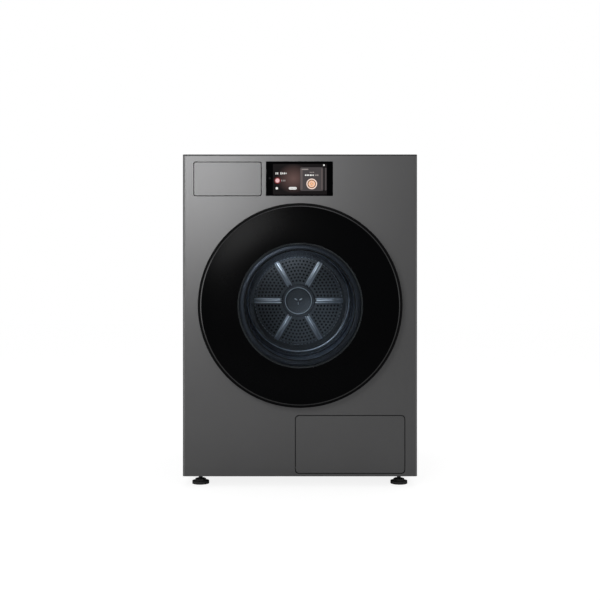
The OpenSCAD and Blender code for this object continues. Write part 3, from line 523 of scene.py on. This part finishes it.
def bevel_ring():
    """The polished band around the outer glass."""
    thick = 0.5 * MM
    drop = 1.4 * MM
    r1 = GLASS_R - 0.2 * MM
    r0 = r1 - GROUND_EDGE
    y = GLASS_LOW.y - 0.15 * MM
    profile = [(r0, y), (r1, y + drop), (r1, y + drop + thick), (r0, y + 0.4 * MM)]
    piece_from(turned(profile), "door_bevel_band", BAND, "door")


def door_bowl():
    """The deep glass bowl behind the window: rolled lip, slanted side wall, round bend, flat end."""
    wall = 5 * MM
    lip_y = BOWL_LOW.y
    deep = BOWL_HIGH.y
    throat = WINDOW_R + 1 * MM
    end_r = WINDOW_R - 12 * MM
    bend = 26 * MM
    outer_fold = 5 * MM
    inner_fold = 4 * MM
    lip = BOWL_LIP_R - 2 * MM
    end_mid = (end_r - bend, deep - bend)
    end = [(0.0, deep - wall), (0.0, deep)]
    side = arc(end_mid, bend, 90, 0, 12)
    side += arc((throat + outer_fold, lip_y + wall + outer_fold), outer_fold, 180, 270, 5)
    side += arc((lip, lip_y + wall / 2), wall / 2, 90, -90, 6)
    side += arc((throat - wall, lip_y + inner_fold), inner_fold, 270, 180, 5)
    side += arc(end_mid, bend - wall, 0, 90, 12)
    bowl = piece_from(turned(end + side), "door_bowl_glass", BOWL_GLASS, "door")
    # The side wall takes the darker copy of the bowl glass: painted shade.
    bowl.data.materials.append(BOWL_SIDE_SHADED)
    for face in bowl.data.polygons:
        reach = math.hypot(face.center.x - AXIS_X, face.center.z - AXIS_Z)
        face.material_index = int(reach > end_mid[0] + 4 * MM)
    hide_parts("door_bowl")


def window_ring():
    """The domed trim ring just inside the window, with a black inner edge."""
    y = GLASS_HIGH.y + 1.0 * MM
    outer = WINDOW_R - 3 * MM
    inner = WINDOW_R - 17 * MM
    dome = [(outer, y + 3.2 * MM), (outer - 2 * MM, y + 2.0 * MM), (outer - 6 * MM, y + 1.1 * MM),
            (outer - 10 * MM, y + 0.6 * MM), (inner + 1.5 * MM, y + 0.8 * MM), (inner, y + 2.0 * MM)]
    back = [(inner, y + 5 * MM), (outer - 2 * MM, y + 6 * MM), (outer, y + 5 * MM)]
    piece_from(turned(dome + back), "window_trim_ring", RING_METAL, "door")
    lip_r = inner - 0.2 * MM
    edge_r = inner - 3 * MM
    lip = [(edge_r, y + 7 * MM), (lip_r, y + 3 * MM), (lip_r, y + 8 * MM), (edge_r, y + 9 * MM)]
    piece_from(turned(lip), "window_trim_lip", PRINT_BLACK, "door")


# ---- Drum ----


def on_drum(mesh, verts, turn):
    """Moves vertices drawn along +X at the axis to their angle round the drum."""
    spin = Matrix.Rotation(math.radians(turn), 4, "Y")
    bmesh.ops.transform(mesh, verts=verts, matrix=Matrix.Translation((AXIS_X, 0, AXIS_Z)) @ spin)


def plate_ribs():
    """Six pressed ribs of the rear plate, each with a crest and flanks, in a steel far lighter than the
    plate's: a painted highlight.
    """
    half = ((1.5, -5.2), (2.5, -4.9), (3.4, -3.6), (4.6, -0.9), (6.2, -1.7), (7.2, -1.5), (8.0, 0.3))
    section = [(-z, depth) for z, depth in reversed(half)] + list(half)
    base_y = PLATE_LOW.y + 4.2 * MM
    stations = ((CAP_R + 8 * MM, 0.2), (CAP_R + 12 * MM, 0.8), (CAP_R + 16 * MM, 1.0),
                (PLATE_R - 10 * MM, 1.0), (PLATE_R - 5 * MM, 0.75), (PLATE_R - 3 * MM, 0.15))
    mesh = bmesh.new()
    for turn in range(0, 360, 60):
        rings = []
        for reach, swell in stations:
            width = 0.75 + 0.25 * swell
            rings.append([mesh.verts.new((reach, base_y + depth * swell * MM, z * width * MM))
                          for z, depth in section])
        for near, far in zip(rings, rings[1:]):
            for i in range(len(section) - 1):
                mesh.faces.new((near[i], near[i + 1], far[i + 1], far[i]))
        for ring in (rings[0], rings[-1]):
            mesh.faces.new(ring)
        for i in range(len(stations) - 1):
            mesh.faces.new((rings[i][0], rings[i][-1], rings[i + 1][-1], rings[i + 1][0]))
        on_drum(mesh, [vert for ring in rings for vert in ring], turn)
    piece_from(mesh, "drum_plate_ribs", RIB_STEEL_PAINTED_HIGHLIGHT, "drum")


def plate_backing():
    """A thin black disc behind the air holes, put there as painted shade so the holes read dark."""
    y0 = PLATE_HIGH.y + 3 * MM
    y1 = y0 + 0.5 * MM
    inner = 14 * MM
    outer = PLATE_R - 9 * MM
    profile = [(inner, y0), (outer, y0), (outer, y1), (inner, y1)]
    piece_from(turned(profile), "drum_hole_shade_disc", HOLE_SHADE, "drum")


def plate_rings():
    """Rear wall round the perforated plate, darkened as painted shade, and the turned beads on it and round
    the hub, the wall bead lightened as a painted highlight.
    """
    y = PLATE_HIGH.y - 1.6 * MM
    face_y = y - 0.6 * MM
    wall_r = PLATE_R + 32 * MM
    wall = [(PLATE_R - 5 * MM, y), (wall_r, y), (wall_r, face_y), (PLATE_R - 4.4 * MM, face_y)]
    piece_from(turned(wall), "drum_rear_wall", WALL_PAINTED_SHADE, "drum")
    rows = (("drum_hub_bead", CAP_R + 6.5 * MM, 2.2 * MM, PLATE_LOW.y + 3.2 * MM, CAP_STEEL_SHADED),
            ("drum_wall_bead", PLATE_R + 15 * MM, 1.3 * MM, y - 0.4 * MM, RIB_STEEL_PAINTED_HIGHLIGHT),
            ("drum_outer_bead", PLATE_R + 26 * MM, 1.8 * MM, y - 0.4 * MM, PLATE_STEEL_SHADED))
    for name, radius, half, depth, steel in rows:
        profile = arc((radius, depth), half, 180, 360, 10)
        piece_from(turned(profile), name, steel, "drum")


def hub_cap():
    """The cap on the drum's hub: raised edge, dished face, three short moulded bars."""
    y0 = CAP_LOW.y
    y1 = CAP_HIGH.y
    edge = 1.9 * MM
    profile = [(0.0, y0 + 2.2 * MM), (CAP_R - 9 * MM, y0 + 2.4 * MM), (CAP_R - 2.6 * edge, y0 + 2.0 * MM)]
    profile += arc((CAP_R - edge, y0 + edge), edge, 200, 360, 10)
    profile += [(CAP_R, y1), (0.0, y1)]
    mesh = turned(profile, 96, closed=False)
    cap = piece_from(mesh, "hub_cap", CAP_STEEL_SHADED, "drum")
    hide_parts("drum_hub_cap")
    bar_size = (9 * MM, 2.4 * MM, 3.0 * MM)
    bar_middle = (8.5 * MM, y0 + 1.9 * MM, 0.0)
    bars = bmesh.new()
    for turn in (90, 210, 330):
        bar = bmesh.ops.create_cube(bars, size=1.0)["verts"]
        bmesh.ops.scale(bars, verts=bar, vec=bar_size)
        bmesh.ops.translate(bars, verts=bar, vec=bar_middle)
        on_drum(bars, bar, turn)
    bmesh.ops.bevel(bars, geom=bars.edges[:], offset=0.7 * MM, segments=2, profile=0.5,
                    affect="EDGES", material=-1)
    # The bars and the edge ring take the lighter rib steel: a painted highlight.
    piece_from(bars, "hub_cap_bars", RIB_STEEL_PAINTED_HIGHLIGHT, "drum")
    foot_y = y0 + 1.1 * MM
    crest_y = y0 - 0.6 * MM
    ring = [(CAP_R - 4.4 * MM, foot_y), (CAP_R - 3.4 * MM, crest_y), (CAP_R - 1.8 * MM, crest_y),
            (CAP_R - 0.8 * MM, foot_y)]
    piece_from(turned(ring), "hub_cap_edge", RIB_STEEL_PAINTED_HIGHLIGHT, "drum")


# ---- Rear ----


def rear_screws():
    """Round-headed screws with a small socket, along the edges of the rear sheet."""
    sheet_low, sheet_high = corners("rear_panel")
    inset = 12 * MM
    head_r = 4.2 * MM
    head_rise = 1.6 * MM
    seat_y = sheet_high.y - 0.3 * MM
    left, right = sheet_low.x + inset, sheet_high.x - inset
    low, high = sheet_low.z + inset, sheet_high.z - inset
    places = [(x, low + (high - low) * i / 4) for x in (left, right) for i in range(5)]
    places += [(left + (right - left) * i / 3, z) for z in (low, high) for i in (1, 2)]
    upright = Matrix.Rotation(math.radians(-90), 3, "X")
    mesh = bmesh.new()
    for x, z in places:
        head = bmesh.ops.create_circle(mesh, cap_ends=True, radius=head_r, segments=24)["verts"]
        face = head[0].link_faces[0]
        bmesh.ops.rotate(mesh, verts=head, cent=(0, 0, 0), matrix=upright)
        bmesh.ops.translate(mesh, verts=head, vec=(x, seat_y, z))
        raised = bmesh.ops.extrude_face_region(mesh, geom=[face])["geom"]
        top = [item for item in raised if isinstance(item, bmesh.types.BMFace)]
        rim = [item for item in raised if isinstance(item, bmesh.types.BMVert)]
        bmesh.ops.translate(mesh, verts=rim, vec=(0.0, head_rise, 0.0))
        bmesh.ops.inset_region(mesh, faces=top, thickness=1.1 * MM, depth=0.5 * MM)
        bmesh.ops.inset_region(mesh, faces=top, thickness=1.2 * MM)
        bmesh.ops.inset_region(mesh, faces=top, thickness=0.2 * MM, depth=-0.9 * MM)
    piece_from(mesh, "rear_screws", ZINC, "cabinet")


# ---- Display ----

SCREEN_BASE = shade(0.002)
SCREEN_BEND = 1.1
MARK_THICK = 0.05 * MM


def lit(name, colour):
    """A lit area of the display, very slightly uneven as its backlight is."""
    glow = Finish(name, Roughness=0.4)
    uneven = glow.noise(30.0, 2.0)
    dim = tuple(channel * 0.94 for channel in colour)
    glow.colour(SCREEN_BASE)
    glow.shader.inputs["IOR"].default_value = SCREEN_BEND
    glow.feed(glow.shader.inputs["Emission Color"], glow.blend(uneven, (*dim, 1.0), (*colour, 1.0)))
    glow.shader.inputs["Emission Strength"].default_value = 1.0
    return glow.material


def screen_glow(name):
    """The lit background: near black, with a dull red-brown bloom right of its title."""
    glow = Finish(name, Roughness=0.4)
    centre_x = DISPLAY_LOW.x + 70 * MM
    centre_z = DISPLAY_LOW.z + 44 * MM
    half_wide = 44 * MM
    half_high = 38 * MM
    sockets = {"Vector": glow.place, "Scale": (1 / half_wide, 0.0, 1 / half_high),
               "Location": (-centre_x / half_wide, 0.0, -centre_z / half_high)}
    mapping = glow.node("ShaderNodeMapping", sockets=sockets)
    ball = glow.node("ShaderNodeTexGradient", {"gradient_type": "SPHERICAL"}, {"Vector": mapping.outputs[0]})
    bloom = glow.value(ball.outputs["Fac"])
    glow.colour(SCREEN_BASE)
    glow.shader.inputs["IOR"].default_value = SCREEN_BEND
    colour = glow.blend(bloom, (0.009, 0.0075, 0.008, 1.0), (0.125, 0.075, 0.068, 1.0))
    glow.feed(glow.shader.inputs["Emission Color"], colour)
    glow.shader.inputs["Emission Strength"].default_value = 1.0
    return glow.material


SCREEN_BACK = screen_glow("screen_back")
SCREEN_CARD = lit("screen_card", (0.068, 0.060, 0.062))
SCREEN_EDGE = lit("screen_edge", (0.125, 0.100, 0.098))
SCREEN_WHITE = lit("screen_white", (0.86, 0.86, 0.84))
SCREEN_GREY = lit("screen_grey", (0.30, 0.27, 0.26))
# The sensor window is no lamp: its faint glow is painted light.
SENSOR_PAINTED_GLOW = lit("sensor_painted_glow", (0.012, 0.012, 0.013))
SCREEN_RED = lit("screen_red", (0.16, 0.022, 0.024))
SCREEN_ROSE = lit("screen_rose", (0.84, 0.50, 0.52))
SCREEN_CREAM = lit("screen_cream", (0.94, 0.72, 0.62))
SCREEN_PEACH = lit("screen_peach", (0.95, 0.52, 0.30))
SCREEN_DARK = lit("screen_dark", (0.030, 0.020, 0.020))


def screen_y(layer):
    """Depth of a layer of marks, just in front of the display's cover glass."""
    return DISPLAY_LOW.y - (0.12 + 0.07 * layer) * MM


def mark(name, material, x, z, width, height, layer=1, corner=None):
    """A flat lit mark, its middle placed in millimetres from the display's lower left corner."""
    centre = (DISPLAY_LOW.x + x * MM, screen_y(layer), DISPLAY_LOW.z + z * MM)
    round_by = (min(width, height) * 0.499 if corner is None else corner) * MM
    mesh = panel(bmesh.new(), centre, (width * MM, height * MM), MARK_THICK, round_by)
    piece_from(mesh, name, material, "cabinet", smooth=False)


def ring_mark(name, material, x, z, outer, inner, layer=1):
    """A lit ring, placed as a mark is."""
    y0 = screen_y(layer)
    y1 = y0 + MARK_THICK
    mesh = turned([(inner * MM, y0), (outer * MM, y0), (outer * MM, y1), (inner * MM, y1)], 48)
    shift = (DISPLAY_LOW.x + x * MM - AXIS_X, 0.0, DISPLAY_LOW.z + z * MM - AXIS_Z)
    bmesh.ops.translate(mesh, verts=mesh.verts, vec=shift)
    piece_from(mesh, name, material, "cabinet", smooth=False)


def screen():
    """The running programme's page, with plain marks in place of its words."""
    title = ((25.6, 5.6), (30.0, 5.6), (38.2, 6.2), (42.6, 4.6), (46.8, 5.4), (51.2, 3.4))
    card_line = ((101.6, 4.0), (107.4, 5.4), (114.4, 5.4), (120.4, 3.6), (126.4, 3.0), (131.4, 5.6))
    status = (29.3, 39.0)
    start = (117.0, 30.5)
    foot_z = 19.3
    card_z = 42.8
    mark("screen_background", SCREEN_BACK, 86.8, 42.3, 138.0, 78.2, 0, 2.0)
    for i, (x, height) in enumerate(title):
        mark(f"title_mark_{i}", SCREEN_WHITE, x, 57.4, 2.4, height, 1, 1.1)
    ring_mark("status_halo", SCREEN_RED, *status, 8.2, 5.4)
    mark("status_dot", SCREEN_ROSE, *status, 10.8, 10.8)
    for i, x in enumerate((40.0, 44.2, 48.2)):
        mark(f"status_mark_{i}", SCREEN_GREY, x, status[1], 2.2, 4.6, 1, 0.9)
    mark("menu_dot", SCREEN_WHITE, 27.7, foot_z, 6.4, 6.4)
    mark("option_button", SCREEN_WHITE, 68.4, foot_z, 20.4, 6.6)
    for i in range(5):
        mark(f"option_mark_{i}", SCREEN_GREY, 61.6 + 3.4 * i, foot_z, 1.6, 2.8, 2, 0.6)
    mark("programme_card", SCREEN_CARD, 116.8, card_z, 59.4, 60.4, 1, 4.0)
    mark("card_edge_left", SCREEN_EDGE, 91.0, card_z, 5.4, 54.0, 2, 2.0)
    mark("card_edge_right", SCREEN_EDGE, 142.8, card_z, 2.6, 54.0, 2, 1.2)
    mark("card_tab", SCREEN_GREY, 99.8, 67.6, 17.0, 3.0, 2, 1.4)
    for i in range(3):
        mark(f"card_line_a{i}", SCREEN_GREY, 113.0 + 4.2 * i, 60.0, 3.0, 2.4, 2, 0.8)
    for i, (x, width) in enumerate(card_line):
        mark(f"card_line_b{i}", SCREEN_WHITE if i < 4 else SCREEN_GREY, x, 52.8, width, 3.6, 2, 1.2)
    mark("start_disc", SCREEN_DARK, *start, 21.4, 21.4, 2)
    ring_mark("start_ring", SCREEN_CREAM, *start, 13.6, 10.7, 3)
    ring_mark("start_ring_inner", SCREEN_PEACH, *start, 8.9, 6.4, 3)
    ring_mark("start_ring_core", SCREEN_CREAM, *start, 6.4, 5.0, 3)
    mark("start_core", SCREEN_PEACH, *start, 9.2, 9.2, 3)
    mark("start_mark_left", SCREEN_DARK, 114.8, 31.0, 1.4, 1.4, 4)
    mark("start_mark_right", SCREEN_DARK, 119.2, 31.0, 1.4, 1.4, 4)
    mark("start_mark_low", SCREEN_DARK, start[0], 27.8, 1.4, 1.4, 4)
    mark("next_card", SCREEN_CARD, 152.4, card_z, 4.4, 58.0, 1, 1.6)
    mark("signal_dot", SCREEN_WHITE, 148.2, 78.4, 4.4, 4.4, 2)
    # Sensor window with a faint glow of its own: painted light.
    mark("sensor_dot_painted_glow", SENSOR_PAINTED_GLOW, 9.6, 45.0, 5.6, 5.6)


# ---- Room, light and camera ----


def floor():
    """A wide pale floor. Seen straight it is as white as the room, and only its soft shadow shows."""
    half_side = 9.0
    mesh = bmesh.new()
    bmesh.ops.create_grid(mesh, x_segments=1, y_segments=1, size=half_side)
    data = bpy.data.meshes.new("studio_floor")
    mesh.to_mesh(data)
    mesh.free()
    paper = Finish("floor_paper", Roughness=0.9)
    paper.colour(paper.blend(paper.noise(3.0), shade(0.64), shade(0.68)))
    white = paper.node("ShaderNodeBsdfPrincipled")
    white.inputs["Base Color"].default_value = shade(0.30)
    white.inputs["Roughness"].default_value = 0.9
    white.inputs["Emission Color"].default_value = shade(1.0)
    white.inputs["Emission Strength"].default_value = 0.86
    path = paper.node("ShaderNodeLightPath")
    sockets = {0: path.outputs["Is Camera Ray"], 1: paper.shader.outputs[0], 2: white.outputs[0]}
    mix = paper.node("ShaderNodeMixShader", sockets=sockets)
    paper.tree.links.new(mix.outputs[0], paper.tree.nodes["Material Output"].inputs["Surface"])
    data.materials.append(paper.material)
    obj = bpy.data.objects.new("studio_floor", data)
    bpy.context.scene.collection.objects.link(obj)


def area_light(name, place, target, size, power, colour=(1.0, 1.0, 1.0)):
    """A lamp of a size in metres, aimed at a point, that the camera doesn't see."""
    lamp = bpy.data.lights.new(name, "AREA")
    lamp.shape = "RECTANGLE"
    lamp.size, lamp.size_y = size
    lamp.energy = power
    lamp.color = colour
    obj = bpy.data.objects.new(name, lamp)
    obj.location = place
    obj.rotation_euler = (Vector(target) - Vector(place)).to_track_quat("-Z", "Y").to_euler()
    obj.visible_camera = False
    bpy.context.scene.collection.objects.link(obj)


def lights():
    """A key aimed at the upper left corner, three fills, and a faint lamp at the top of the drum."""
    middle = (0.0, FRONT, 0.45)
    corner = (-0.28, FRONT, 0.83)
    drum_back = (AXIS_X, PLATE_LOW.y, AXIS_Z)
    cool = (0.93, 0.97, 1.0)
    area_light("key", (-0.62, FRONT - 2.6, 1.22), corner, (0.7, 0.7), 14.2)
    area_light("top", (0.2, 0.1, 2.6), middle, (2.4, 2.4), 14.0)
    area_light("right_fill", (2.4, FRONT - 1.4, 0.4), middle, (1.0, 1.6), 2.4)
    area_light("drum_top", (-0.06, FRONT + 0.24, AXIS_Z + 0.19), drum_back, (0.2, 0.03), 0.135, cool)
    area_light("left_fill", (-2.2, FRONT - 1.0, 0.7), middle, (0.9, 1.6), 7.0)


def world():
    """An even room that lights the machine softly and looks white behind it."""
    sky = bpy.data.worlds.new("studio")
    sky.use_nodes = True
    tree = sky.node_tree
    soft = tree.nodes["Background"]
    white = tree.nodes.new("ShaderNodeBackground")
    for shader, strength in ((soft, 0.385), (white, 1.0)):
        shader.inputs["Color"].default_value = shade(1.0)
        shader.inputs["Strength"].default_value = strength
    path = tree.nodes.new("ShaderNodeLightPath")
    mix = tree.nodes.new("ShaderNodeMixShader")
    tree.links.new(path.outputs["Is Camera Ray"], mix.inputs[0])
    tree.links.new(soft.outputs[0], mix.inputs[1])
    tree.links.new(white.outputs[0], mix.inputs[2])
    tree.links.new(mix.outputs[0], tree.nodes["World Output"].inputs["Surface"])
    bpy.context.scene.world = sky


def camera():
    """A level view of the front, shifted a little to the right and down."""
    eye = bpy.data.cameras.new("front_view")
    distance = 2.5
    seen_width = 1.534
    eye.sensor_width = 36.0
    eye.lens = eye.sensor_width * distance / seen_width
    eye.shift_x = 0.016
    eye.shift_y = -0.034
    obj = bpy.data.objects.new("front_view", eye)
    obj.location = (-0.0245, FRONT - distance, 0.530)
    obj.rotation_euler = (math.radians(90), 0.0, 0.0)
    bpy.context.scene.collection.objects.link(obj)
    bpy.context.scene.camera = obj


finish_nodes()
door_pane()
bevel_ring()
door_bowl()
window_ring()
plate_ribs()
plate_rings()
plate_backing()
hub_cap()
rear_screws()
screen()
floor()
lights()
world()
camera()
bpy.context.scene.view_settings.view_transform = "Standard"
